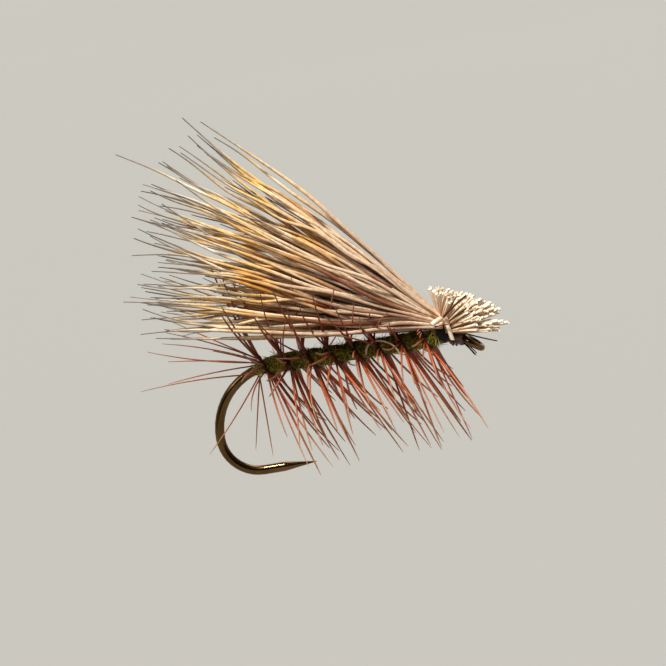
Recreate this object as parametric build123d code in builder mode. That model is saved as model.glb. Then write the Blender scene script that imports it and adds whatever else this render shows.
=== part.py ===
"""A down-wing dry fly on a size 14 hook: elk hair wing, palmered hackle, dubbed body.

Frame: millimetres, +X along the shank towards the eye, +Z up, +Y across.
The origin is the centre of the hook's eye.
"""

from build123d import *

import math
import os
import random

CLEARANCE = 0.004  # between pieces that are wound on each other
HAIR_GAP = 0.02  # between the collar and the hairs behind it

# ---- hook ----
WIRE_R = 0.205
SHANK_Z = 0.48  # height of the shank's axis over the centre of the eye
SHANK_END_X = -8.59  # where the bend begins
BEND_UPPER_R = 2.83
BEND_LOWER_R = 1.62
POINT_START_X = -8.90
POINT_TIP_X = -7.51
POINT_TIP_R = 0.012
EYE_TURN_DOWN = 40.0  # degrees between the shank and the plane of the eye
EYE_BORE_R = 0.30
EYE_WIRE_R = 0.14
EYE_RING_R = 0.42  # radius of the ring's wire axis
NECK_START_X = -0.68

# ---- thread, body and cement ----
THREAD_BASE_R = 0.235
THREAD_BASE_FRONT_X = -1.04
THREAD_BASE_TAIL_ANGLE = 16.5  # degrees of the bend that the thread covers
BODY_R = 0.425
BODY_END_R = 0.33
BODY_TAPER = 0.75
BODY_NOSE = 0.30
BODY_REAR_X = -9.35
BODY_FRONT_X = -1.58
COLLAR_REAR_X = -1.50
COLLAR_FRONT_X = -1.04
COLLAR_WALL = 0.07
WAIST_HALF_WIDTH = 0.38
WAIST_HALF_HEIGHT = 0.60
WAIST_Z = 0.84
HEAD_REAR_X = -1.03
HEAD_FRONT_X = -0.72
HEAD_R = 0.30
HEAD_TAPER = 0.12
CEMENT_R = 0.34
CEMENT_LIP = 0.03

# ---- hackle ----
TURNS = 8
WOUND_TURNS = 7.65  # the last turn stops short, under the wing
TURN_PITCH = 0.99
STEM_R = 0.045
STEM_WIND_R = BODY_R + STEM_R + CLEARANCE
STEM_REAR_X = -9.18
BARBS_PER_TURN = 15
BARB_LENGTH = 4.70
BARB_ROOT_R = 0.042
BARB_TIP_R = 0.016
BARB_LEAN = 0.42  # forward lean of the lowest barbs, backward lean of the highest
BARB_LEAN_SPREAD = 0.16

# ---- wing ----
WING_HAIRS = 104
WING_BANDS = [("drape", 0.10), ("lower", 0.30), ("middle", 0.52), ("upper", 0.80), ("top", 2.0)]
HAIR_ROOT_R = 0.019
HAIR_BELLY_R = 0.058
HAIR_BELLY = 2.6  # distance from the thread to a hair's thickest place
HAIR_TIP_R = 0.018
HAIR_LENGTH = 12.7  # of the lowest hairs
HAIR_LENGTH_RISE = 0.9  # how much longer the highest are
LONGEST_HAIR = 15.6
FAN_X = -9.0  # a section across the wing here is a half disc of this size:
FAN_HALF_WIDTH = 2.6
FAN_BASE_Z = 1.75
FAN_HEIGHT = 8.3
ROOT_HALF_WIDTH = 0.42
ROOT_BASE_Z = 0.78
ROOT_HEIGHT = 0.66

# ---- trimmed butts ----
BUTTS = 56
BUTT_ROOT_R = 0.021
BUTT_END_R = 0.095
DOME_X = -0.93  # the butts fan out from a dome of hair in front of the thread
DOME_Z = 1.13
DOME_R = 0.28
BUTT_LOWEST = -16  # degrees above the shank
BUTT_SWEEP = 120
BUTT_SWING = 60  # degrees to each side

AXIS_POINT = Vector(0, 0, SHANK_Z)
BASE = (Align.CENTER, Align.CENTER, Align.MIN)
GOLDEN = math.pi * (3 - math.sqrt(5))

turn_down = math.radians(EYE_TURN_DOWN)
eye_along = Vector(math.cos(turn_down), 0, -math.sin(turn_down))
eye_axis = Vector(math.sin(turn_down), 0, math.cos(turn_down))
bend_bottom_z = SHANK_Z - BEND_UPPER_R - BEND_LOWER_R
bend_side_x = SHANK_END_X - BEND_UPPER_R
lower_arc_x = bend_side_x + BEND_LOWER_R

os.makedirs("parts", exist_ok=True)


def save(piece, name):
    """Label a finished piece and write it as its own file."""
    piece.part.label = name
    export_step(piece.part, f"parts/{name}.step")


def strand(root, tip, root_r, belly_r, tip_r, belly):
    """A straight fibre from root to tip that is thickest at the distance belly from its root."""
    length = (tip - root).length
    with BuildPart(Plane(origin=root, z_dir=tip - root)) as fibre:
        Cone(root_r, belly_r, belly, align=BASE)
        with Locations((0, 0, belly)):
            Cone(belly_r, tip_r, length - belly, align=BASE)
    return fibre.part


def taper(root, tip, root_r, tip_r):
    """A straight fibre that tapers all the way from root to tip."""
    with BuildPart(Plane(origin=root, z_dir=tip - root)) as fibre:
        Cone(root_r, tip_r, (tip - root).length, align=BASE)
    return fibre.part


def group(name, fibres):
    """Separate fibres kept as one node."""
    with BuildPart() as bundle:
        add(fibres)
    save(bundle, name)


# ---- hook: eye, neck, shank, bend and point in one wire ----
with BuildPart() as hook:
    with BuildSketch(Plane(origin=(0, 0, 0), x_dir=eye_along, z_dir=(0, -1, 0))):
        with Locations((EYE_RING_R, 0)):
            Circle(EYE_WIRE_R)
        with Locations((EYE_BORE_R, 0)):
            land = (Align.MIN, Align.CENTER)
            Rectangle(1, 1, align=land, mode=Mode.INTERSECT)
    revolve(axis=Axis((0, 0, 0), eye_axis))

    ring_back = eye_along * -EYE_RING_R
    neck_corner = Vector(-SHANK_Z / math.tan(turn_down), 0, SHANK_Z)
    neck_middle = (ring_back + neck_corner) * 0.5
    neck_end = Vector(NECK_START_X, 0, SHANK_Z)
    with BuildSketch(Plane(origin=ring_back, z_dir=-eye_along)):
        Circle(EYE_WIRE_R * 0.93)
    with BuildSketch(Plane(origin=neck_middle, z_dir=-eye_along)):
        Circle((EYE_WIRE_R + WIRE_R) / 2)
    with BuildSketch(Plane(origin=neck_end, z_dir=(-1, 0, 0))):
        Circle(WIRE_R)
    loft()

    with BuildLine() as wire:
        Line((NECK_START_X, 0, SHANK_Z), (SHANK_END_X, 0, SHANK_Z))
        upper_middle = math.radians(45)
        ThreePointArc(
            (SHANK_END_X, 0, SHANK_Z),
            (
                SHANK_END_X - BEND_UPPER_R * math.sin(upper_middle),
                0,
                SHANK_Z - BEND_UPPER_R * (1 - math.cos(upper_middle)),
            ),
            (bend_side_x, 0, SHANK_Z - BEND_UPPER_R),
        )
        ThreePointArc(
            (bend_side_x, 0, SHANK_Z - BEND_UPPER_R),
            (
                lower_arc_x - BEND_LOWER_R * math.cos(upper_middle),
                0,
                bend_bottom_z + BEND_LOWER_R * (1 - math.sin(upper_middle)),
            ),
            (lower_arc_x, 0, bend_bottom_z),
        )
        Line((lower_arc_x, 0, bend_bottom_z), (POINT_START_X, 0, bend_bottom_z))
    with BuildSketch(Plane(origin=neck_end, z_dir=(-1, 0, 0))):
        Circle(WIRE_R)
    sweep(path=wire.wire())

    with Locations(Plane(origin=(POINT_START_X, 0, bend_bottom_z), z_dir=(1, 0, 0))):
        Cone(WIRE_R, POINT_TIP_R, POINT_TIP_X - POINT_START_X, align=BASE)
save(hook, "hook")

# ---- thread base: a sleeve along the shank and the start of the bend ----
tail_angle = math.radians(THREAD_BASE_TAIL_ANGLE)
with BuildLine() as dressed_shank:
    Line((THREAD_BASE_FRONT_X, 0, SHANK_Z), (SHANK_END_X, 0, SHANK_Z))
    ThreePointArc(
        (SHANK_END_X, 0, SHANK_Z),
        (
            SHANK_END_X - BEND_UPPER_R * math.sin(tail_angle / 2),
            0,
            SHANK_Z - BEND_UPPER_R * (1 - math.cos(tail_angle / 2)),
        ),
        (
            SHANK_END_X - BEND_UPPER_R * math.sin(tail_angle),
            0,
            SHANK_Z - BEND_UPPER_R * (1 - math.cos(tail_angle)),
        ),
    )
shank_front = Plane(origin=(THREAD_BASE_FRONT_X, 0, SHANK_Z), z_dir=(-1, 0, 0))
with BuildPart() as thread_base:
    with BuildSketch(shank_front):
        Circle(THREAD_BASE_R)
        Circle(WIRE_R, mode=Mode.SUBTRACT)
    sweep(path=dressed_shank.wire())
save(thread_base, "thread_base")

# ---- dubbed body: a spindle round the thread base ----
with BuildPart() as dubbing_body:
    with BuildSketch(Plane.XZ):
        with BuildLine():
            Polyline(
                (BODY_REAR_X, SHANK_Z),
                (BODY_REAR_X, SHANK_Z + BODY_END_R),
                (BODY_REAR_X + BODY_TAPER, SHANK_Z + BODY_R),
                (BODY_FRONT_X - BODY_NOSE, SHANK_Z + BODY_R),
                (BODY_FRONT_X, SHANK_Z + BODY_END_R),
                (BODY_FRONT_X, SHANK_Z),
                close=True,
            )
        make_face()
    revolve(axis=Axis(AXIS_POINT, (1, 0, 0)))
    with BuildSketch(shank_front):
        Circle(THREAD_BASE_R)
    sweep(path=dressed_shank.wire(), mode=Mode.SUBTRACT)
save(dubbing_body, "dubbing_body")

# ---- hackle stem: the quill wound forward over the body ----
with BuildPart() as hackle_stem:
    with BuildLine() as quill:
        Helix(
            pitch=TURN_PITCH,
            height=TURN_PITCH * WOUND_TURNS,
            radius=STEM_WIND_R,
            center=(STEM_REAR_X, 0, SHANK_Z),
            direction=(1, 0, 0),
        )
    with BuildSketch(Plane(origin=quill.wire() @ 0, z_dir=quill.wire() % 0)):
        Circle(STEM_R)
    sweep(path=quill.wire(), is_frenet=True)
save(hackle_stem, "hackle_stem")

# ---- hackle barbs: one group of tapered fibres round each turn ----
for turn in range(TURNS):
    chance = random.Random(turn)
    barbs = []
    for n in range(BARBS_PER_TURN):
        share = (n + 0.5) / BARBS_PER_TURN
        if turn + share > WOUND_TURNS:
            break
        about = 2 * math.pi * share
        up = math.cos(about)
        across = -math.sin(about)
        forward = -BARB_LEAN * up + chance.uniform(-BARB_LEAN_SPREAD, BARB_LEAN_SPREAD)
        if turn == 0:
            forward -= 0.55 + 0.45 * up
        length = BARB_LENGTH * chance.uniform(0.78, 1.09)
        root_r = STEM_WIND_R + STEM_R
        root = Vector(
            STEM_REAR_X + TURN_PITCH * (turn + share),
            across * root_r,
            SHANK_Z + up * root_r,
        )
        way = Vector(forward, across, up).normalized()
        barbs.append(taper(root, root + way * length, BARB_ROOT_R, BARB_TIP_R))
    group(f"hackle_barbs_{turn + 1}", barbs)

# ---- wing waist: the hair bundle where the thread pinches it, with the dome that it opens into ----
waist_plane = Plane(origin=(COLLAR_REAR_X, 0, WAIST_Z), x_dir=(0, 1, 0), z_dir=(1, 0, 0))
collar_length = COLLAR_FRONT_X - COLLAR_REAR_X
with BuildPart() as wing_waist:
    with BuildSketch(waist_plane):
        Ellipse(WAIST_HALF_WIDTH, WAIST_HALF_HEIGHT)
        with Locations((0, SHANK_Z - WAIST_Z)):
            Circle(THREAD_BASE_R + CLEARANCE, mode=Mode.SUBTRACT)
    extrude(amount=collar_length)
    with Locations((DOME_X, 0, DOME_Z)):
        Sphere(DOME_R)
save(wing_waist, "wing_waist")

# ---- tie-in thread: the collar round the waist and the shank ----
with BuildPart() as tie_in_thread:
    with BuildSketch(waist_plane):
        Ellipse(WAIST_HALF_WIDTH + COLLAR_WALL, WAIST_HALF_HEIGHT + COLLAR_WALL)
        Ellipse(WAIST_HALF_WIDTH, WAIST_HALF_HEIGHT, mode=Mode.SUBTRACT)
    extrude(amount=collar_length)
save(tie_in_thread, "tie_in_thread")


def half_disc(count):
    """About count places spread evenly over the upper half of a unit disc, as (across, up)."""
    for number in range(2 * count):
        reach = math.sqrt((number + 0.5) / (2 * count))
        across = reach * math.cos(number * GOLDEN)
        up = reach * math.sin(number * GOLDEN)
        if up > 0:
            yield across, up


def pinched(x, across, up):
    """The same place at x, in the small half disc that the thread pinches the hair into."""
    return Vector(x, ROOT_HALF_WIDTH * across, ROOT_BASE_Z + ROOT_HEIGHT * up)


# ---- wing hair: a fan of tapered hairs in nine groups by height and side ----
wing = {}
chance = random.Random(14)
for across, up in half_disc(WING_HAIRS):
    root = pinched(COLLAR_REAR_X - HAIR_GAP, across, up)
    through = Vector(FAN_X, FAN_HALF_WIDTH * across, FAN_BASE_Z + FAN_HEIGHT * up)
    length = (HAIR_LENGTH + HAIR_LENGTH_RISE * up) * chance.uniform(0.90, 1.05)
    band = next(name for name, limit in WING_BANDS if up < limit)
    side = "" if band == "top" else ("_near" if across < 0 else "_far")
    hair = (root, root + (through - root).normalized() * length)
    wing.setdefault(f"wing_hair_{band}{side}", []).append(hair)

# one hair of the upper near group is longer than all others
root, tip = wing["wing_hair_upper_near"][0]
wing["wing_hair_upper_near"][0] = (root, root + (tip - root).normalized() * LONGEST_HAIR)

for key, hairs in sorted(wing.items()):
    group(key, [strand(a, b, HAIR_ROOT_R, HAIR_BELLY_R, HAIR_TIP_R, HAIR_BELLY) for a, b in hairs])

# ---- head butts: the trimmed ends of the hair, flared in front of the thread ----
butts = {}
chance = random.Random(3)
dome = Vector(DOME_X, 0, DOME_Z)
for across, up in half_disc(BUTTS):
    rise = math.radians(BUTT_LOWEST + BUTT_SWEEP * up)
    swing = math.radians(BUTT_SWING * across)
    way = Vector(
        math.cos(swing) * math.cos(rise),
        math.sin(swing),
        math.cos(swing) * math.sin(rise),
    )
    reach = (1.3 + 1.75 * (1 - up) ** 4 + 0.25 * up**2) * chance.uniform(0.94, 1.0)
    if up > 0.62:
        place = "top"
    elif abs(across) < 0.38:
        place = "front"
    else:
        place = "near" if across < 0 else "far"
    butt = (dome + way * DOME_R, dome + way * reach)
    butts.setdefault(f"head_butts_{place}", []).append(butt)

for key, ends in sorted(butts.items()):
    group(key, [taper(a, b, BUTT_ROOT_R, BUTT_END_R) for a, b in ends])

# ---- head thread and cement: the whip finish and the varnish over it ----
with BuildPart() as head_thread:
    with BuildSketch(Plane.XZ):
        with BuildLine():
            Polyline(
                (HEAD_REAR_X, SHANK_Z + WIRE_R),
                (HEAD_REAR_X, SHANK_Z + HEAD_R),
                (HEAD_FRONT_X - HEAD_TAPER, SHANK_Z + HEAD_R),
                (HEAD_FRONT_X, SHANK_Z + WIRE_R),
                close=True,
            )
        make_face()
    revolve(axis=Axis(AXIS_POINT, (1, 0, 0)))
save(head_thread, "head_thread")

with BuildPart() as head_cement:
    with BuildSketch(Plane.XZ):
        with BuildLine():
            Polyline(
                (HEAD_REAR_X, SHANK_Z + HEAD_R),
                (HEAD_REAR_X, SHANK_Z + CEMENT_R),
                (HEAD_FRONT_X - HEAD_TAPER, SHANK_Z + CEMENT_R),
                (HEAD_FRONT_X + CEMENT_LIP, SHANK_Z + WIRE_R),
                (HEAD_FRONT_X, SHANK_Z + WIRE_R),
                (HEAD_FRONT_X - HEAD_TAPER, SHANK_Z + HEAD_R),
                close=True,
            )
        make_face()
    revolve(axis=Axis(AXIS_POINT, (1, 0, 0)))
save(head_cement, "head_cement")

# ---- loose ends at the head ----
tag_root = Vector(-0.62, -0.17, 0.21)
tag_end = Vector(0.04, -0.25, -0.55)
group("thread_tag", [taper(tag_root, tag_end, 0.045, 0.035)])
stray_root = Vector(-0.66, -0.14, 0.73)
stray_end = Vector(1.02, -0.20, -0.08)
group("stray_fibre", [taper(stray_root, stray_end, 0.035, 0.02)])
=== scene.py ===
import math
import random

import bpy
import numpy as np
from mathutils import Matrix, Vector


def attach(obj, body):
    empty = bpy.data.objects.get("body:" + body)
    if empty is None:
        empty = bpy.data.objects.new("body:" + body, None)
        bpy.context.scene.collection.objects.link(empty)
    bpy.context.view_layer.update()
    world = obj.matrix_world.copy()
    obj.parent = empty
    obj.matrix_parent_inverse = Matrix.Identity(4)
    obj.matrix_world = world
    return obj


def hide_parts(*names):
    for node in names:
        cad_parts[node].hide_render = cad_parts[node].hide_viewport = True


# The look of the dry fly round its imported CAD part. Lengths are in millimetres in the part's own frame:
# +X along the shank towards the eye, +Z up, the eye's centre at the origin, and -Y the near side.

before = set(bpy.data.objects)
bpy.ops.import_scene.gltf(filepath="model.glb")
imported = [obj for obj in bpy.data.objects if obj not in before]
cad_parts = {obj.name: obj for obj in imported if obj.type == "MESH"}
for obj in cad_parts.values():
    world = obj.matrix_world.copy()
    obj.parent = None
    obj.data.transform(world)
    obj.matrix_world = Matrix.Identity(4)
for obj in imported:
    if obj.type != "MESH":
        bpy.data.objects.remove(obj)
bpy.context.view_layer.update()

MM = 0.001
TURN = 2 * math.pi
GOLDEN_ANGLE = math.pi * (3 - math.sqrt(5))

# the wire's straight part, and where and how tightly its round bend starts
SHANK_Z = 0.48
BEND_START_X = -8.59
BEND_R = 2.83
# the dubbed body's ends and the radius of its felted core
BODY_REAR_X = -9.40
BODY_FRONT_X = -1.50
CORE_R = 0.37
# the quill's winding: pitch, rear end, radius and number of turns
STEM_PITCH = 0.99
STEM_REAR_X = -9.18
STEM_WIND_R = 0.44
STEM_TURNS = 7.65
# the collar's ends, the height of the hair under it, and the middle of the butts' flare
COLLAR_REAR_X = -1.49
COLLAR_FRONT_X = -1.05
WAIST_Z = 0.84
DOME = np.array((-0.93, 0.0, 1.13))


def rgb(code):
    """A colour written as sRGB hex, as linear RGBA."""
    parts = [int(code[i:i + 2], 16) / 255 for i in (0, 2, 4)]
    return tuple(c / 12.92 if c < 0.04045 else ((c + 0.055) / 1.055) ** 2.4 for c in parts) + (1.0,)


# ---- materials ----
def material(name, roughness, specular=0.5, **settings):
    """A new material with one Principled shader, and its node tree and shader."""
    mat = bpy.data.materials.new(name)
    mat.use_nodes = True
    shader = mat.node_tree.nodes["Principled BSDF"]
    shader.inputs["Roughness"].default_value = roughness
    shader.inputs["Specular IOR Level"].default_value = specular
    for key, value in settings.items():
        shader.inputs[key.replace("_", " ").title()].default_value = value
    return mat, mat.node_tree, shader


def attribute(tree, name):
    """The value that the mesh holds under that name."""
    node = tree.nodes.new("ShaderNodeAttribute")
    node.attribute_name = name
    return node.outputs["Fac"]


def ramp(tree, value, stops):
    """The colour at value on a gradient given as (position, hex colour) stops."""
    node = tree.nodes.new("ShaderNodeValToRGB")
    elements = node.color_ramp.elements
    while len(elements) < len(stops):
        elements.new(0.5)
    for element, (position, colour) in zip(elements, stops):
        element.position = position
        element.color = rgb(colour)
    tree.links.new(value, node.inputs["Fac"])
    return node.outputs["Color"]


def blend(tree, factor, a, b, how="MIX"):
    """Colour a with b laid over it by factor, where factor and b may be a socket or a value."""
    node = tree.nodes.new("ShaderNodeMix")
    node.data_type = "RGBA"
    node.blend_type = how
    for socket, value in ((node.inputs[0], factor), (node.inputs[6], a), (node.inputs[7], b)):
        if isinstance(value, bpy.types.NodeSocket):
            tree.links.new(value, socket)
        else:
            socket.default_value = value
    return node.outputs[2]


def noise(tree, scale, detail=3.0):
    """Noise in the object's own space, with about scale features to a metre."""
    coordinates = tree.nodes.new("ShaderNodeTexCoord").outputs["Object"]
    node = tree.nodes.new("ShaderNodeTexNoise")
    node.inputs["Scale"].default_value = scale
    node.inputs["Detail"].default_value = detail
    tree.links.new(coordinates, node.inputs["Vector"])
    return node.outputs["Fac"]


def bump(tree, shader, height, distance):
    """Bumps as high as distance, in metres, from a height from 0 to 1."""
    node = tree.nodes.new("ShaderNodeBump")
    node.inputs["Distance"].default_value = distance
    tree.links.new(height, node.inputs["Height"])
    tree.links.new(node.outputs["Normal"], shader.inputs["Normal"])


# noise scales of the marks on a fibre, in features to a metre, and how strongly the flecks show
FLECK_SCALE = 5200.0
STAIN_SCALE = 520.0
CUT_SCALE = 14000.0
GRAIN_SCALE = 9000.0
FLECK_STRENGTH = 0.35
# where along a fibre the stains show
STAIN_BELT = [(0.50, "000000"), (0.64, "FFFFFF"), (0.84, "FFFFFF"), (0.91, "000000")]


def fibre_material(name, light, dark, roughness, specular=0.5, painted_shade="FFFFFF", stain=None, cut=None):
    """A fibre's finish: two gradients from root to tip, mixed by the fibre's own tone, with flecks, wider
    stains on its outer half, painted shade on the side turned away from the key lamp, and its own colour on
    cut ends."""
    mat, tree, shader = material(name, roughness, specular)
    along = attribute(tree, "along")
    colour = blend(tree, attribute(tree, "tone"), ramp(tree, along, dark), ramp(tree, along, light))
    flecks = ramp(tree, noise(tree, FLECK_SCALE, 4.0), [(0.32, "8A8078"), (0.62, "FFFFFF")])
    colour = blend(tree, FLECK_STRENGTH, colour, flecks, "MULTIPLY")
    if stain:
        stains = ramp(tree, noise(tree, STAIN_SCALE, 2.0), stain)
        colour = blend(tree, ramp(tree, along, STAIN_BELT), colour, stains, "MULTIPLY")
    # painted shade: each fibre's side turned away from the key lamp is darkened towards the given colour
    underside_shade = ramp(tree, attribute(tree, "painted_shade"), [(0.42, "FFFFFF"), (0.78, painted_shade)])
    colour = blend(tree, 1.0, colour, underside_shade, "MULTIPLY")
    if cut:
        ends = ramp(tree, noise(tree, CUT_SCALE, 2.0), cut)
        colour = blend(tree, attribute(tree, "cut"), colour, ends)
    tree.links.new(colour, shader.inputs["Base Color"])
    bump(tree, shader, noise(tree, GRAIN_SCALE), 0.000006)
    return mat


elk_hair = fibre_material(
    "elk_hair",
    light=[(0.0, "F2D6B8"), (0.12, "F0D4B4"), (0.35, "F2D4B2"), (0.54, "F6DAB6"), (0.67, "FFE8C2"),
           (0.79, "FFF2DA"), (0.86, "D8C8B0"), (0.93, "AA9E92"), (1.0, "8E857C")],
    dark=[(0.0, "9A5E34"), (0.15, "823E1A"), (0.35, "762E0E"), (0.46, "7C3814"), (0.62, "C88E4C"),
          (0.79, "F2CC90"), (0.86, "A08868"), (0.93, "7A6C5E"), (1.0, "6E645A")],
    roughness=0.30,
    specular=0.18,
    # the colour of the painted shade on each hair's side away from the key lamp
    painted_shade="844422",
    stain=[(0.42, "FFFFFF"), (0.50, "FFF4E0"), (0.60, "FFE8B4")],
)
elk_butt = fibre_material(
    "elk_butt",
    light=[(0.0, "C89E70"), (0.3, "EED0AC"), (0.7, "FEEACE"), (1.0, "FFF2DC")],
    dark=[(0.0, "94663E"), (0.3, "C09468"), (0.7, "E2C29A"), (1.0, "F0DCBE")],
    roughness=0.45,
    # the colour of the painted shade on each butt's side away from the key lamp
    painted_shade="AA845E",
    cut=[(0.35, "F0DEC0"), (0.65, "FFF8EA")],
)
barb_finish = fibre_material(
    "hackle_barb",
    light=[(0.0, "B84A18"), (0.2, "C65A22"), (0.5, "C4683A"), (0.75, "BC7C54"), (1.0, "B08468")],
    dark=[(0.0, "5C1E0C"), (0.2, "843616"), (0.5, "94482A"), (0.8, "965A40"), (1.0, "8C6250")],
    roughness=0.42,
    specular=0.3,
    # the colour of the painted shade on each barb's side away from the key lamp
    painted_shade="B07C60",
)
fur = fibre_material(
    "olive_fur",
    light=[(0.0, "A49C2C"), (0.5, "D2C84C"), (1.0, "EEE68A")],
    dark=[(0.0, "40320A"), (0.5, "5E5014"), (1.0, "867A28")],
    roughness=0.7,
    specular=0.15,
)
thread_finish = fibre_material(
    "black_thread",
    light=[(0.0, "1E1714"), (1.0, "261E1A")],
    dark=[(0.0, "0B0908"), (1.0, "100D0C")],
    roughness=0.5,
    specular=0.25,
)
olive_thread = fibre_material(
    "olive_thread",
    light=[(0.0, "6C6A1E"), (1.0, "7C7A28")],
    dark=[(0.0, "3A3810"), (1.0, "444214")],
    roughness=0.6,
)
quill_finish = fibre_material(
    "hackle_quill",
    light=[(0.0, "5E2E18"), (1.0, "6A3A20")],
    dark=[(0.0, "1C0A05"), (1.0, "260E07")],
    roughness=0.5,
    specular=0.2,
)

felt, tree, shader = material("olive_felt", roughness=0.85, specular=0.15)
wool = ramp(tree, noise(tree, 4200.0, 5.0), [(0.34, "2A1E06"), (0.5, "544410"), (0.66, "90801E")])
tree.links.new(wool, shader.inputs["Base Color"])
bump(tree, shader, noise(tree, GRAIN_SCALE, 5.0), 0.00004)

bronze, tree, shader = material("bronzed_wire", roughness=0.3, specular=0.6, Metallic=1.0)
lacquer = ramp(tree, noise(tree, 900.0, 4.0), [(0.3, "503C22"), (0.5, "60492C"), (0.7, "74593A")])
tree.links.new(lacquer, shader.inputs["Base Color"])
rub = ramp(tree, noise(tree, 1500.0, 3.0), [(0.3, "6A6A6A"), (0.7, "7C7C7C")])
tree.links.new(rub, shader.inputs["Roughness"])

varnish, tree, shader = material("head_varnish", roughness=0.22, specular=0.4, Coat_Weight=0.25)
amber = ramp(tree, noise(tree, 3600.0, 3.0), [(0.35, "2C1A12"), (0.55, "5A3E2C"), (0.72, "8E6E50")])
tree.links.new(amber, shader.inputs["Base Color"])
bump(tree, shader, noise(tree, 3200.0, 2.0), 0.00003)

# varnish inside the eye, whose pale yellow-green colour is a painted glint
varnish_glint_finish, tree, shader = material("varnish_rim_painted_glint", roughness=0.12, specular=0.6)
glint_tint = ramp(tree, noise(tree, 5200.0, 2.0), [(0.4, "6E6A24"), (0.6, "C6C05A")])
tree.links.new(glint_tint, shader.inputs["Base Color"])

paper, tree, shader = material("studio_floor", roughness=0.9, specular=0.1)
grain = ramp(tree, noise(tree, 3.0, 1.0), [(0.3, "8C8B87"), (0.7, "8D8C88")])
tree.links.new(grain, shader.inputs["Base Color"])


# ---- meshes ----
def unit(v):
    """The direction of v."""
    v = np.asarray(v, float)
    return v / max(np.linalg.norm(v), 1e-12)


def curve(points, count):
    """A smooth path of count places through the Bezier polygon points."""
    points = np.asarray(points, float)
    order = len(points) - 1
    t = np.linspace(0, 1, count)[:, None]
    weights = [math.comb(order, k) * t ** k * (1 - t) ** (order - k) for k in range(order + 1)]
    return sum(w * p for w, p in zip(weights, points))


def profile(stops, count):
    """Radii at count even steps along a fibre from (place, radius) stops."""
    places, radii = zip(*stops)
    return np.interp(np.linspace(0, 1, count), places, radii)


# a fibre's painted shade lies on the side that looks down, towards the far side and a little to the rear,
# away from the key lamp
PAINTED_SHADE_WAY = np.array((-0.15, 0.45, -0.88))
# the hollow in a cut end: its width and depth as shares of the fibre's, and how far its colour is the cut one
PITH_WIDTH = 0.55
PITH_DEPTH = 0.35
PITH_SHADE = 0.55


class Fibres:
    """Tapered tubes gathered into one mesh. It keeps four values for every point: how far along its fibre
    it is (along), its fibre's shade (tone), how far it faces away from the key lamp, which sets its painted
    shade (painted_shade), and whether it is on a cut end (cut)."""

    def __init__(self):
        self.points, self.faces, self.flat = [], [], []
        self.along, self.tone, self.cut, self.painted_shade = [], [], [], []

    def ring(self, points, along, tone, cut=0.0, painted_shade=None):
        """Adds a ring of points and gives their numbers."""
        first = len(self.points)
        self.points.extend(points)
        self.along.extend([along] * len(points))
        self.tone.extend([tone] * len(points))
        self.cut.extend([cut] * len(points))
        # painted shade values for the points, one for each, or none
        self.painted_shade.extend([0.0] * len(points) if painted_shade is None else painted_shade)
        return list(range(first, first + len(points)))

    def join(self, a, b, flat=False):
        """Adds the band of faces between two rings."""
        for i in range(len(a)):
            self.faces.append((a[i - 1], a[i], b[i], b[i - 1]))
            self.flat.append(flat)

    def tube(self, path, radii, tone, sides=6, span=(0.0, 1.0), flatness=1.0, cut=None):
        """Adds a tube along path. cut=(slant, direction) ends it in a pale cut face, not a closed tip."""
        path = np.asarray(path, float)
        count = len(path)
        tangents = np.gradient(path, axis=0)
        tangents /= np.linalg.norm(tangents, axis=1)[:, None]
        side = (0.31, 0.83, 0.47)
        angles = np.linspace(0, TURN, sides, endpoint=False)
        last = None
        for i in range(count):
            tangent = tangents[i]
            side = unit(side - tangent * np.dot(side, tangent))
            other = np.cross(tangent, side)
            spokes = np.outer(np.cos(angles), side) + np.outer(np.sin(angles) * flatness, other)
            ring = path[i] + radii[i] * spokes
            if cut and i == count - 1:
                slant = cut[0] * radii[i] * np.cos(angles - cut[1])
                ring = ring + np.outer(slant, tangent)
            share = span[0] + (span[1] - span[0]) * i / (count - 1)
            # how far each point faces away from the key lamp, which sets its painted shade
            here = self.ring([tuple(p) for p in ring], share, tone, painted_shade=0.5 + 0.5 * (spokes @ PAINTED_SHADE_WAY))
            if last:
                self.join(last, here)
            else:
                self.faces.append(tuple(here))
                self.flat.append(True)
            last = here
        if not cut:
            self.faces.append(tuple(reversed(last)))
            self.flat.append(True)
            return
        # the cut face is a flat rim round a shallow hollow
        rim = self.ring([tuple(p) for p in ring], 1.0, tone, 1.0)
        centre = ring.mean(axis=0)
        pith = centre + (ring - centre) * PITH_WIDTH - tangents[-1] * radii[-1] * PITH_DEPTH
        inner = self.ring([tuple(p) for p in pith], 1.0, tone, PITH_SHADE)
        self.join(rim, inner, flat=True)
        self.faces.append(tuple(reversed(inner)))
        self.flat.append(True)

    def build(self, name, finish, slot, *nodes):
        """Makes the mesh a piece of the fly, with its finish, shown instead of those CAD nodes."""
        mesh = bpy.data.meshes.new(name)
        mesh.from_pydata([tuple(c * MM for c in p) for p in self.points], [], self.faces)
        for key in ("along", "tone", "cut", "painted_shade"):
            layer = mesh.attributes.new(key, "FLOAT", "POINT")
            layer.data.foreach_set("value", np.array(getattr(self, key), np.float32))
        mesh.polygons.foreach_set("use_smooth", [not f for f in self.flat])
        mesh.update()
        mesh.materials.append(finish)
        piece = bpy.data.objects.new(name, mesh)
        bpy.context.scene.collection.objects.link(piece)
        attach(piece, "root")
        if nodes:
            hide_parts(*nodes)


def turned(name, rings, finish, slot, *nodes):
    """Builds a closed skin over rings of points, given in order."""
    skin = Fibres()
    last = None
    for ring in rings:
        here = skin.ring([tuple(p) for p in ring], 0.5, 0.5)
        if last:
            skin.join(last, here)
        else:
            skin.faces.append(tuple(here))
            skin.flat.append(True)
        last = here
    skin.faces.append(tuple(reversed(last)))
    skin.flat.append(True)
    skin.build(name, finish, slot, *nodes)


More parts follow.
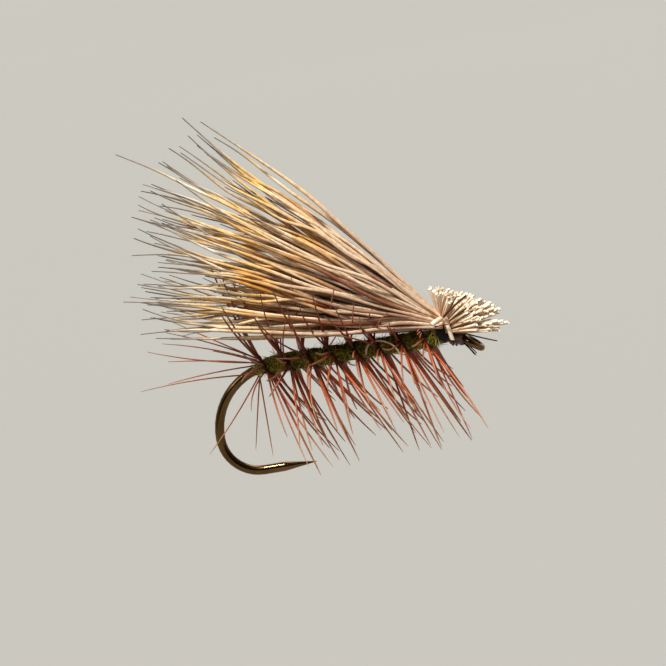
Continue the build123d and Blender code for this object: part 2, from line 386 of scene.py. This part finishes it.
def circle_at(x, z, radius, sides, wobble, tilt=0.0):
    """A ring round the shank's direction, leaned by tilt, whose radius wobble(angle) changes."""
    ring = []
    for k in range(sides):
        angle = TURN * k / sides
        r = radius * (1 + wobble(angle))
        ring.append((x + r * math.cos(angle) * tilt, r * math.sin(angle), z + r * math.cos(angle)))
    return ring


# ---- wing: locks of tapered hair in a half-disc fan ----
# a hair leaves the waist and passes through a place on the plane x = FAN_X. Both ends of that line follow
# from how far up the fan the hair lies, from 0 to about 1, and how far across it, from -1 (near) to 1 (far).
ROOT_X, ROOT_Z = -1.15, 0.86
ROOT_HEIGHT, ROOT_HALF_WIDTH = 0.50, 0.36
FAN_X, FAN_Z = -9.0, 1.75
FAN_HEIGHT, FAN_HALF_WIDTH = 8.3, 2.6
FAN_EDGE = 1.05
# each lock: place up the fan, middle and half width across it, length of its hairs, number of hairs
LOCKS = [
    (0.895, -0.05, 0.25, 13.4, 8), (0.805, 0.00, 0.40, 13.7, 11), (0.685, 0.00, 0.50, 13.7, 13),
    (0.580, -0.05, 0.60, 13.9, 13), (0.490, 0.00, 0.70, 13.9, 12), (0.425, 0.00, 0.75, 13.7, 11),
    (0.340, 0.00, 0.82, 13.4, 14), (0.285, -0.30, 0.60, 12.5, 10), (0.225, 0.00, 0.88, 12.8, 15),
    (0.170, -0.05, 0.88, 13.1, 13), (0.125, 0.00, 0.90, 12.7, 14), (0.080, -0.15, 0.80, 12.7, 11),
    (0.050, -0.30, 0.60, 11.6, 7),
]
# the CAD groups of hair, and how far up the fan each ends
BANDS = [("drape", 0.10), ("lower", 0.30), ("middle", 0.52), ("upper", 0.80), ("top", 9.0)]
HAIR_RADII = [
    (0, 0.066), (0.1, 0.084), (0.35, 0.090), (0.6, 0.080),
    (0.78, 0.060), (0.88, 0.043), (0.95, 0.030), (1, 0.016),
]
HAIR_STEPS = 30
# how far along its hairs a lock is at its tightest
TIGHT_AT = 0.78
# this share of the hairs is shorter, and ends inside its lock
SHORT_SHARE = 0.50


def fan_point(up, across, distance):
    """The place that far along the straight way from the waist through (up, across) of the fan."""
    root = np.array((ROOT_X, ROOT_HALF_WIDTH * across, ROOT_Z + ROOT_HEIGHT * up))
    through = np.array((FAN_X, FAN_HALF_WIDTH * across, FAN_Z + FAN_HEIGHT * up))
    return root + unit(through - root) * distance


def drift(rng, root, tight, tip):
    """A smooth random offset along a hair, given its spread at the root, at TIGHT_AT and at the tip."""
    a, b, c = rng.gauss(0, root), rng.gauss(0, tight), rng.gauss(0, tip)
    rest = 1 - TIGHT_AT

    def offset(t):
        at_root = a * (1 - t) * (TIGHT_AT - t) / TIGHT_AT
        at_tight = b * t * (1 - t) / (TIGHT_AT * rest)
        at_tip = c * t * (t - TIGHT_AT) / rest
        return at_root + at_tight + at_tip

    return offset


def ripples(rng, *waves):
    """A random wavy offset along a hair, in mm, from (waves to a hair, size) pairs."""
    terms = []
    for count, size in waves:
        start = rng.uniform(0, 6.3)
        beat = 6.28 * count * rng.uniform(0.7, 1.3)
        terms.append((start, beat, rng.gauss(0, size)))
    return lambda t: sum(height * math.sin(start + beat * t) for start, beat, height in terms)


def hair_path(rng, up, across, length, arch, spread=1.0, rising=0.0, lock=None):
    """A hair that starts anywhere near its lock, draws in to it and splays again at the tip. It bows up by
    arch, rises across its neighbours by rising, and follows lock(t), the wave that its lock shares."""
    rise = drift(rng, 0.095 * spread, 0.013 * spread, 0.020 * spread)
    sway = drift(rng, 0.15 * spread, 0.08 * spread, 0.08 * spread)
    wave = ripples(rng, (1.3, 0.10), (3.0, 0.045))
    side_wave = ripples(rng, (1.2, 0.12), (2.5, 0.06))
    points = []
    for i in range(HAIR_STEPS):
        t = i / (HAIR_STEPS - 1)
        side = max(-FAN_EDGE, min(FAN_EDGE, across + sway(t)))
        here = up - rising * (1 - t * t) + rise(t)
        lowest = 0.02 + 0.03 * abs(side)
        point = fan_point(max(here, lowest), side, t * length)
        bow = arch * math.sin(math.pi * t ** 1.3)
        # the waves grow out of the waist and weaken again over the last fifth
        free = min(1.0, 3.2 * t) * (0.45 + 0.55 * min(1.0, 5 * (1 - t)))
        lift = (wave(t) + (lock(t) if lock else 0)) * free
        points.append(point + np.array((bow * 0.6, side_wave(t) * free, bow * 0.8 + lift)))
    return points


def wing_node(up, across):
    """The CAD node that a hair there belongs to."""
    band = next(name for name, limit in BANDS if up < limit)
    return f"wing_hair_{band}" + ("" if band == "top" else "_near" if across < 0 else "_far")


wing = {}
rng = random.Random(21)
for lock_up, middle, half_width, length, hairs in LOCKS:
    # the locks low on the wing wave less, and hold fewer pale hairs, which paints shade over the lower wing
    lock = ripples(rng, (1.0, 0.05 + 0.10 * lock_up), (2.0, 0.06))
    pale = 0.18 + 0.52 * lock_up
    for n in range(hairs):
        across = middle + half_width * (2 * (n + 0.5) / hairs - 1) + rng.gauss(0, 0.05)
        up = lock_up - 0.04 * across + rng.gauss(0, 0.010)
        if rng.random() < SHORT_SHARE:
            reach = length * rng.uniform(0.66, 0.84)
        else:
            reach = length * (1.02 - 0.13 * rng.betavariate(1.0, 1.6))
        path = hair_path(rng, up, across, reach, 0.03 + 0.12 * lock_up, lock=lock)
        tone = rng.uniform(0.65, 1.0) if rng.random() < pale else rng.uniform(0.0, 0.40)
        bunch = wing.setdefault(wing_node(up, across), Fibres())
        bunch.tube(path, profile(HAIR_RADII, HAIR_STEPS) * rng.uniform(0.80, 1.12), tone)

# the arched hairs along the top, the longest hair, and single hairs that stand off their locks:
# each one's place up and across at its tip, length, arch, and how far it rises across its neighbours
SINGLE_HAIRS = [
    (1.04, -0.05, 13.1, 0.42, 0.0), (1.00, 0.02, 12.2, 0.34, 0.0), (0.995, -0.16, 13.85, 0.10, 0.11),
    (0.955, -0.10, 12.9, 0.08, 0.09), (0.92, -0.20, 13.2, 0.05, 0.14), (0.65, -0.25, 15.5, 0.25, 0.0),
    (0.165, -0.70, 13.6, 0.05, 0.0), (0.07, -0.95, 12.9, 0.0, 0.0), (0.03, -0.70, 11.6, -0.1, 0.0),
    (0.33, -0.45, 12.0, 0.1, 0.0), (0.00, -0.40, 12.2, -0.15, 0.0), (0.24, -0.75, 13.1, 0.1, 0.0),
    (0.20, -0.30, 12.9, -0.1, 0.0), (0.70, -0.50, 12.8, 0.0, 0.12), (0.56, -0.60, 12.9, 0.0, 0.13),
    (0.42, -0.70, 13.0, 0.0, 0.12), (0.48, -0.55, 12.4, 0.0, -0.14), (0.29, -0.80, 12.6, 0.0, -0.12),
]
SINGLE_SPREAD = 0.15
for up, across, length, arch, rising in SINGLE_HAIRS:
    path = hair_path(rng, up, across, length, arch, SINGLE_SPREAD, rising)
    bunch = wing.setdefault(wing_node(up, across), Fibres())
    bunch.tube(path, profile(HAIR_RADII, HAIR_STEPS), rng.uniform(0.6, 1.0))

# a broken hair bent over the near side of the body
BROKEN_HAIR = [
    (-4.55, -0.52, 0.30), (-4.50, -0.66, 1.05), (-3.70, -0.70, 1.05),
    (-3.10, -0.66, 0.50), (-3.15, -0.52, 0.05),
]
broken_radii = profile([(0, 0.05), (1, 0.04)], 16)
wing["wing_hair_drape_near"].tube(curve(BROKEN_HAIR, 16), broken_radii, 0.75, span=(0.2, 0.4))

for node, bunch in sorted(wing.items()):
    bunch.build(f"{node}_strands", elk_hair, "elk_hair", node)

# ---- wing waist: the same hairs packed together under the thread ----
WAIST_HAIRS = 70
WAIST_HALF_WIDTH, WAIST_HALF_HEIGHT = 0.30, 0.44
WIRE_CLEARANCE = 0.25
waist = Fibres()
rng = random.Random(5)
for n in range(WAIST_HAIRS):
    reach = math.sqrt((n + 0.5) / WAIST_HAIRS)
    angle = n * GOLDEN_ANGLE
    y = WAIST_HALF_WIDTH * reach * math.cos(angle)
    z = WAIST_Z - 0.04 + WAIST_HALF_HEIGHT * reach * math.sin(angle)
    if math.hypot(y, z - SHANK_Z) < WIRE_CLEARANCE:
        continue
    end = DOME + unit((0.5, y * 1.5, (z - WAIST_Z) * 0.9)) * 0.24
    path = curve([(-1.62, y * 1.02, z), (-1.3, y * 0.9, z), (-1.1, y * 0.9, z), end], 7)
    waist.tube(path, [0.055] * 7, rng.uniform(0.1, 0.7), span=(0.0, 0.05))
waist.build("wing_waist_strands", elk_hair, "elk_hair", "wing_waist")

# ---- head butts: cut hair ends flaring in front of the thread ----
# the butts' places fill the upper half of a disc that would hold twice as many
BUTT_COUNT = 190
# the slope of the lowest butts in degrees, from there to the steepest, and how far they swing to the sides
BUTT_LOWEST = -18
BUTT_RISE = 130
BUTT_SWING = 50
# how far the butts' cut ends stand from the dome, by their slope in degrees above the shank
BUTT_SLOPES = (-19, -16, -8, 0, 10, 17, 43, 65, 80, 98, 111)
BUTT_REACHES = (2.55, 2.65, 2.55, 2.40, 2.12, 1.84, 1.38, 1.30, 1.38, 1.50, 1.60)
butts = {}
rng = random.Random(8)
for n in range(2 * BUTT_COUNT):
    spot = math.sqrt((n + 0.5) / (2 * BUTT_COUNT))
    across, up = spot * math.cos(n * GOLDEN_ANGLE), spot * math.sin(n * GOLDEN_ANGLE)
    if up <= 0:
        continue
    group = "top" if up > 0.62 else "front" if abs(across) < 0.38 else "near" if across < 0 else "far"
    slope = BUTT_LOWEST + BUTT_RISE * up + rng.gauss(0, 2.0)
    rise = math.radians(slope)
    swing = math.radians(BUTT_SWING * across + rng.gauss(0, 3.0))
    way = np.array((math.cos(swing) * math.cos(rise), math.sin(swing), math.cos(swing) * math.sin(rise)))
    reach = np.interp(slope, BUTT_SLOPES, BUTT_REACHES) * (1 - 0.22 * abs(across) ** 1.5)
    reach *= rng.uniform(0.90, 1.02)
    base = np.array((-1.18, 0.26 * across, 0.66 + 0.62 * up))
    end = DOME + way * reach
    bend = np.array([rng.gauss(0, 0.045) for _ in range(3)])
    path = curve([base, base + (end - base) * 0.5 + bend + np.array((0, 0, 0.06 * up)), end], 7)
    radii = profile([(0, 0.048), (0.35, 0.060), (1, rng.uniform(0.058, 0.086))], 7)
    bunch = butts.setdefault(f"head_butts_{group}", Fibres())
    slant = (rng.uniform(0.1, 0.8), rng.uniform(0, 6.3))
    bunch.tube(path, radii, rng.uniform(0.0, 1.0), sides=9, flatness=rng.uniform(0.65, 1.0), cut=slant)

# butts that were trapped the wrong way, over the collar: the way of each and its radius
TRAPPED = [
    ([(-1.12, -0.56, 1.32), (-1.34, -0.72, 1.26), (-1.58, -0.74, 1.13)], 0.112),
    ([(-0.94, -0.52, 1.42), (-0.90, -0.72, 0.89), (-0.80, -0.64, 0.36)], 0.094),
]
for points, radius in TRAPPED:
    path = curve(points, 8)
    butts["head_butts_near"].tube(path, [radius] * 8, 0.7, sides=9, span=(0.3, 1.0), cut=(0.5, 1.0))
for node, bunch in sorted(butts.items()):
    bunch.build(f"{node}_strands", elk_butt, "elk_butts", node)

# ---- hackle: barbs standing out of each turn of the quill ----
BARB_TURNS = 8
BARBS_PER_TURN = 25
BARB_RADII = [(0, 0.048), (0.3, 0.046), (0.7, 0.038), (0.92, 0.027), (1, 0.014)]
BARB_STEPS = 11
# the barbs' length at the rear, and how much shorter they get with each turn
BARB_LENGTH = 4.85
BARB_SHORTER = 0.07
# the height that the wing leaves the upper barbs at the rear, and how much less with each turn
WING_ROOM = 4.6
WING_ROOM_LOSS = 0.62
# how far the wing pushes a barb out
WING_PUSH = 0.95
# how far barbs sweep along the shank, above and below it
UPPER_SWEEP = -0.14
LOWER_SWEEP = -0.42
# the shade of the barbs above the shank, as a share of the others'
UPPER_SHADE = 0.45
# the rearmost barbs lie back over the bend: where each starts across and up, and its tip
REAR_BARBS_X = -9.25
REAR_BARBS = [
    (-0.30, 0.20, (-14.35, -0.5, 0.32)), (-0.20, 0.70, (-13.80, -0.3, 1.94)),
    (0.10, 0.75, (-13.15, 0.0, 2.14)), (0.20, 0.60, (-13.10, 0.3, 1.29)),
    (-0.35, 0.15, (-11.86, -1.0, -2.75)), (-0.10, 0.10, (-9.96, -0.4, -3.00)),
    (0.20, 0.80, (-12.60, 0.6, 2.90)), (0.30, 0.50, (-13.40, 1.2, 0.20)),
    (0.0, 0.85, (-12.90, -0.1, 2.60)), (-0.15, 0.10, (-9.26, -0.45, -3.35)),
]


def on_quill(turns, radius):
    """The place that many turns along the quill's winding, at that radius from the shank."""
    about = TURN * turns
    x = STEM_REAR_X + STEM_PITCH * turns
    return np.array((x, -math.sin(about) * radius, SHANK_Z + math.cos(about) * radius))


for turn in range(BARB_TURNS):
    rng = random.Random(100 + turn)
    barbs = Fibres()
    fan_out = 0.0
    for n in range(BARBS_PER_TURN):
        share = (n + 0.5) / BARBS_PER_TURN
        if turn + share > STEM_TURNS:
            break
        if n % 3 == 0:
            fan_out = rng.gauss(0, 0.10)
        lean_to = TURN * share + rng.gauss(0, 0.10)
        up, across = math.cos(lean_to), -math.sin(lean_to)
        # the lower barbs sweep forward, and the upper ones a little to the rear, with more scatter
        sweep = UPPER_SWEEP if up > 0 else LOWER_SWEEP
        forward = sweep * up + fan_out + rng.gauss(0, 0.08 + 0.10 * max(0.0, up))
        if turn == 0:
            forward -= 0.15 + 0.10 * up
        length = (BARB_LENGTH - BARB_SHORTER * turn) * rng.uniform(0.76, 1.06)
        if up > 0.3:
            # the hair over the front turns holds their upper barbs down
            length = min(length, (WING_ROOM - WING_ROOM_LOSS * (turn + share)) / up)
        root = on_quill(turn + share, STEM_WIND_R + 0.02)
        way = unit((forward, across, up))
        # the barbs that meet the wing are pushed out round it
        push = WING_PUSH * max(0.0, up) * (1 if across > 0 else -1) * (0.35 + abs(across))
        middle = root + way * length * 0.5 + np.array((0, push, 0))
        end = root + way * length + np.array((0, push * 0.4, 0))
        sag = unit((rng.gauss(-0.6, 0.6), rng.gauss(0, 1), rng.gauss(-0.3, 1))) * rng.uniform(0.05, 0.35)
        path = curve([root, middle + sag, end - sag * 0.5], BARB_STEPS)
        tone = rng.betavariate(1.4, 0.9) * (UPPER_SHADE if up > -0.15 else 1.0)
        barbs.tube(path, profile(BARB_RADII, BARB_STEPS) * rng.uniform(0.75, 1.2), tone, sides=5)
    if turn == 0:
        for y, z, tip in REAR_BARBS:
            start = np.array((REAR_BARBS_X, y, z))
            sag = np.array((0, 0, rng.uniform(-0.3, 0.3)))
            path = curve([start, (start + tip) / 2 + sag, tip], BARB_STEPS)
            barbs.tube(path, profile(BARB_RADII, BARB_STEPS) * 0.7, rng.uniform(0.1, 0.6), sides=5)
    barbs.build(f"hackle_barbs_{turn + 1}_fibres", barb_finish, "hackle_barb", f"hackle_barbs_{turn + 1}")

STEM_STEPS = 330
stem = Fibres()
helix = []
for k in range(STEM_STEPS + 1):
    turns = STEM_TURNS * k / STEM_STEPS
    # the quill bulges and sinks about three times a turn
    helix.append(on_quill(turns, STEM_WIND_R + 0.012 * math.sin(TURN * turns * 3.3)))
stem.tube(helix, profile([(0, 0.080), (1, 0.115)], STEM_STEPS + 1), 0.15, sides=8)
stem.build("hackle_stem_quill", quill_finish, "hackle_quill", "hackle_stem")

# ---- dubbed body: a felted core and loose fur ----
rng = random.Random(17)
# the waves that make the core lumpy: start, pace along it, waves round it, size
LUMP_COUNT = 16
lumps = []
for _ in range(LUMP_COUNT):
    start, along = rng.uniform(0, 6.3), rng.uniform(2.0, 9.0)
    lumps.append((start, along, rng.randint(1, 5), rng.uniform(0.01, 0.035)))


def body_radius(x):
    """The core's radius at x: it tapers over its rear end, and a little at its front."""
    rear = min(1.0, max(0.0, (x - BODY_REAR_X) / 1.1))
    front = min(1.0, max(0.0, (BODY_FRONT_X - x) / 0.5))
    return CORE_R * (0.55 + 0.45 * math.sin(rear * math.pi / 2)) * (0.72 + 0.28 * front)


def shank_height(x):
    """The wire's axis, which starts to fall where the bend begins."""
    past = max(0.0, BEND_START_X - x)
    return SHANK_Z - (BEND_R - math.sqrt(BEND_R ** 2 - past ** 2))


def lumps_at(x):
    """How much the core swells at x, by the angle round it."""
    return lambda angle: sum(
        size * math.sin(start + along * x + around * angle) for start, along, around, size in lumps
    )


CORE_RINGS = 150
rings = []
for k in range(CORE_RINGS):
    x = BODY_REAR_X + (BODY_FRONT_X - BODY_REAR_X) * k / (CORE_RINGS - 1)
    rings.append(circle_at(x, shank_height(x), body_radius(x), 40, lumps_at(x)))
turned("dubbing_core", rings, felt, "olive_dubbing", "dubbing_body")

FUR_COUNT = 3200
FUR_RADII = [0.011, 0.010, 0.009, 0.007, 0.004]
# every so many fibres, one is in the light wisp next to the collar
WISP_EVERY = 12
fuzz = Fibres()
for n in range(FUR_COUNT):
    x = rng.uniform(BODY_REAR_X, BODY_FRONT_X)
    # the fur darkens towards the front: painted shade of the wing over the front of the body
    shade = rng.betavariate(1.6, 1.1) * min(1.0, 0.35 - 0.16 * (x - BODY_FRONT_X))
    if n % WISP_EVERY == 0:
        x = rng.uniform(BODY_FRONT_X - 0.35, BODY_FRONT_X + 0.03)
        shade = 1.0
    about = rng.uniform(0, TURN)
    out = np.array((0.0, math.sin(about), math.cos(about)))
    round_way = np.array((0.0, math.cos(about), -math.sin(about)))
    start = np.array((x, 0, shank_height(x))) + out * body_radius(x) * 0.93
    length = rng.uniform(0.10, 0.40) * (2.0 if rng.random() < 0.10 else 1.0)
    lift = rng.uniform(0.0, 0.30)
    way = unit(round_way * rng.uniform(-1.0, 1.0) + np.array((rng.gauss(0, 0.7), 0, 0)) + out * lift)
    fall = out * -rng.uniform(0.0, 0.18)
    fall = fall + np.array((rng.gauss(0, 0.06), rng.gauss(0, 0.06), rng.gauss(0, 0.06)))
    path = curve([start, start + way * length * 0.5 + out * 0.06, start + way * length + fall], 5)
    fuzz.tube(path, FUR_RADII, shade, sides=3)
fuzz.build("dubbing_fur", fur, "olive_dubbing")

# ---- threads ----
# steps to a turn
WRAP_STEPS = 36


def wound(turns, steps, start_x, end_x, centre_z, half_width, half_height, wander=0.0, phase=0.0):
    """The way of a thread wound from start_x to end_x round the height centre_z(x). Its pitch can wander."""
    points = []
    for k in range(steps + 1):
        about = TURN * turns * k / steps
        x = start_x + (end_x - start_x) * k / steps + wander * math.sin(0.37 * about + phase)
        points.append((x, half_width * math.sin(about), centre_z(x) + half_height * math.cos(about)))
    return points


base = Fibres()
wraps = wound(130, 2199, -1.02, -9.42, shank_height, 0.222, 0.222)
base.tube(wraps, [0.034] * len(wraps), 0.4, sides=5)
base.build("thread_base_wraps", olive_thread, "olive_thread", "thread_base")

# the collar's two layers: turns, how far out it lies, and its two ends
COLLAR_LAYERS = [(8, 0.030, COLLAR_REAR_X, COLLAR_FRONT_X), (6, 0.062, -1.10, -1.44)]
collar = Fibres()
for layer, (turns, grow, start, end) in enumerate(COLLAR_LAYERS):
    wraps = wound(
        turns, turns * WRAP_STEPS, start, end, lambda x: WAIST_Z - 0.10, 0.31 + grow, 0.48 + grow,
        wander=0.010, phase=layer,
    )
    collar.tube(wraps, [0.036] * len(wraps), 0.25 + 0.3 * layer, sides=7)
collar.build("tie_in_thread_wraps", thread_finish, "black_thread", "tie_in_thread")

head = Fibres()
wraps = wound(6, 6 * WRAP_STEPS, -1.04, -0.70, lambda x: SHANK_Z, 0.255, 0.255)
head.tube(wraps, [0.042] * len(wraps), 0.5, sides=7)
head.build("head_thread_wraps", thread_finish, "black_thread", "head_thread")


# ---- varnish: a drop over the whip finish that has run down the neck on to the eye ----
def drop_wobble(s):
    """How uneven the drop is, s of the way along it, by the angle round it."""
    return lambda angle: 0.07 * math.sin(2 * angle + 7 * s) + 0.05 * math.sin(3 * angle - 11 * s)


DROP_RINGS = 34
rings = []
for k in range(DROP_RINGS):
    s = k / (DROP_RINGS - 1)
    x, z = -1.06 + 0.80 * s, SHANK_Z - 0.34 * s ** 1.6
    radius = 0.33 * math.sqrt(max(0.0, 1 - (abs(2 * s - 0.86) / 1.16) ** 2.6)) + 0.008
    rings.append(circle_at(x, z, radius, 28, drop_wobble(s), tilt=0.35 * s))
turned("head_cement_drop", rings, varnish, "head_cement", "head_cement")

# small drops under the head: the place and radius of each
SPECKS = [(-0.84, -0.25, 0.10, 0.07), (-0.70, -0.26, 0.05, 0.055), (-0.93, -0.20, 0.16, 0.05)]
specks = Fibres()
for x, y, z, r in SPECKS:
    path = curve([(x, y, z + r * 1.4), (x, y, z - r)], 6)
    specks.tube(path, [r * 0.4, r, r * 1.1, r, r * 0.7, r * 0.2], 0.2, sides=9)
specks.build("head_cement_specks", varnish, "head_cement")

# a rim of varnish inside the eye's wire, in the plane of the turned-down eye; its pale yellow-green colour is
# a painted glint
TURN_DOWN = math.radians(40)
RIM_R = 0.255
RIM_STEPS = 15
eye_along = np.array((math.cos(TURN_DOWN), 0, -math.sin(TURN_DOWN)))
eye_axis = np.array((math.sin(TURN_DOWN), 0, math.cos(TURN_DOWN)))
arc = []
radii = []
for k in range(RIM_STEPS):
    share = k / (RIM_STEPS - 1)
    angle = math.radians(-10 + 100 * share)
    across = np.array((0, RIM_R * math.sin(angle), 0))
    arc.append(RIM_R * math.cos(angle) * eye_along + across + eye_axis * 0.015)
    radii.append(0.012 + 0.035 * math.sin(math.pi * share))
meniscus_glint = Fibres()
meniscus_glint.tube(arc, radii, 0.5, sides=7)
meniscus_glint.build("eye_varnish_painted_glint", varnish_glint_finish, "head_cement")

# ---- loose ends at the head ----
# the cut thread's strands: how far each leans forward, its shade and its length
TAG_STRANDS = [(0.0, 0.9, 1.0), (0.05, 0.6, 0.85), (-0.05, 1.0, 0.92)]
tag = Fibres()
for lean, tone, reach in TAG_STRANDS:
    end = (0.04 * reach + lean, -0.25, -0.52 * reach)
    path = curve([(-0.62, -0.10, 0.21), (-0.30 + lean, -0.22, 0.12), end], 9)
    tag.tube(path, profile([(0, 0.030), (1, 0.022)], 9), tone, sides=6)
tag.build("thread_tag_strands", thread_finish, "black_thread", "thread_tag")

# dark fibres caught under the head and among the hair: the way of each, its radii at both ends, and its shade
STRAYS = [
    ([(-0.66, -0.16, 0.66), (0.10, -0.24, 0.28), (1.03, -0.22, -0.07)], 0.038, 0.026, 1.0),
    ([(-1.00, -0.75, 1.40), (-0.45, -1.12, 1.88), (0.12, -1.25, 2.20)], 0.062, 0.042, 0.9),
    ([(-1.45, -0.66, 1.02), (-0.80, -0.92, 1.12), (-0.08, -1.10, 1.06)], 0.032, 0.014, 1.0),
]
stray = Fibres()
for points, root_r, tip_r, tone in STRAYS:
    stray.tube(curve(points, 10), profile([(0, root_r), (1, tip_r)], 10), tone)
stray.build("stray_fibres", quill_finish, "hackle_barb", "stray_fibre")

# ---- hook: the CAD wire itself ----
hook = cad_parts["hook"]
hook.data.materials.clear()
hook.data.materials.append(bronze)
hook.data.polygons.foreach_set("use_smooth", [True] * len(hook.data.polygons))

# ---- stage, light and camera ----
# the floor is a disc well below the fly, measured in metres
FLOOR_R = 3
FLOOR_Z = -0.032
FLOOR_SIDES = 48
floor_mesh = bpy.data.meshes.new("floor")
corners = []
for k in range(FLOOR_SIDES):
    angle = TURN * k / FLOOR_SIDES
    corners.append((FLOOR_R * math.cos(angle), FLOOR_R * math.sin(angle), FLOOR_Z))
floor_mesh.from_pydata(corners, [], [tuple(range(FLOOR_SIDES))])
floor_mesh.materials.append(paper)
floor = bpy.data.objects.new("floor", floor_mesh)
bpy.context.scene.collection.objects.link(floor)

scene = bpy.context.scene
world = bpy.data.worlds.new("studio")
scene.world = world
world.use_nodes = True
# the studio is bright behind the fly and dim on the near side
tree = world.node_tree
split = tree.nodes.new("ShaderNodeSeparateXYZ")
tree.links.new(tree.nodes.new("ShaderNodeTexCoord").outputs["Generated"], split.inputs[0])
depth = tree.nodes.new("ShaderNodeMapRange")
depth.inputs["From Min"].default_value = -1.0
tree.links.new(split.outputs["Y"], depth.inputs["Value"])
walls = [(0.05, "2C2A27"), (0.30, "5E5B55"), (0.55, "C9C7BE"), (1.0, "DAD8CE")]
room = ramp(tree, depth.outputs["Result"], walls)
tree.links.new(room, tree.nodes["Background"].inputs["Color"])
scene.view_settings.view_transform = "Standard"


def sun(name, strength, spread, towards):
    """A soft lamp that shines towards that way, with its spread in degrees."""
    light = bpy.data.lights.new(name, "SUN")
    light.energy = strength
    light.angle = math.radians(spread)
    light.color = rgb("FFFDFA")[:3]
    lamp = bpy.data.objects.new(name, light)
    lamp.rotation_mode = "QUATERNION"
    lamp.rotation_quaternion = Vector(towards).to_track_quat("-Z", "Y")
    scene.collection.objects.link(lamp)


sun("key", 5.2, 11, (0.22, 0.42, -1.0))
sun("side", 0.5, 22, (0.62, 0.50, -0.60))
sun("back", 0.9, 24, (-0.20, -0.50, -0.85))

CAMERA_AZIMUTH = math.radians(6)
CAMERA_ELEVATION = math.radians(8)
CAMERA_ROLL = math.radians(10.3)
AIM = Vector((-5.83, 0.0, 1.39)) * MM
WIDTH = 28.4 * MM

camera = bpy.data.objects.new("camera", bpy.data.cameras.new("camera"))
camera.data.lens = 200
camera.data.sensor_width = 36
distance = WIDTH * camera.data.lens / camera.data.sensor_width
flat_right = Vector((math.cos(CAMERA_AZIMUTH), math.sin(CAMERA_AZIMUTH), 0))
back = Vector((
    math.sin(CAMERA_AZIMUTH) * math.cos(CAMERA_ELEVATION),
    -math.cos(CAMERA_AZIMUTH) * math.cos(CAMERA_ELEVATION),
    math.sin(CAMERA_ELEVATION),
))
flat_up = back.cross(flat_right)
right = flat_right * math.cos(CAMERA_ROLL) - flat_up * math.sin(CAMERA_ROLL)
up = flat_right * math.sin(CAMERA_ROLL) + flat_up * math.cos(CAMERA_ROLL)
axes = Matrix((right, up, back)).transposed()
camera.matrix_world = Matrix.Translation(AIM + back * distance) @ axes.to_4x4()
camera.data.clip_start, camera.data.clip_end = 0.01, 20
scene.collection.objects.link(camera)
scene.camera = camera
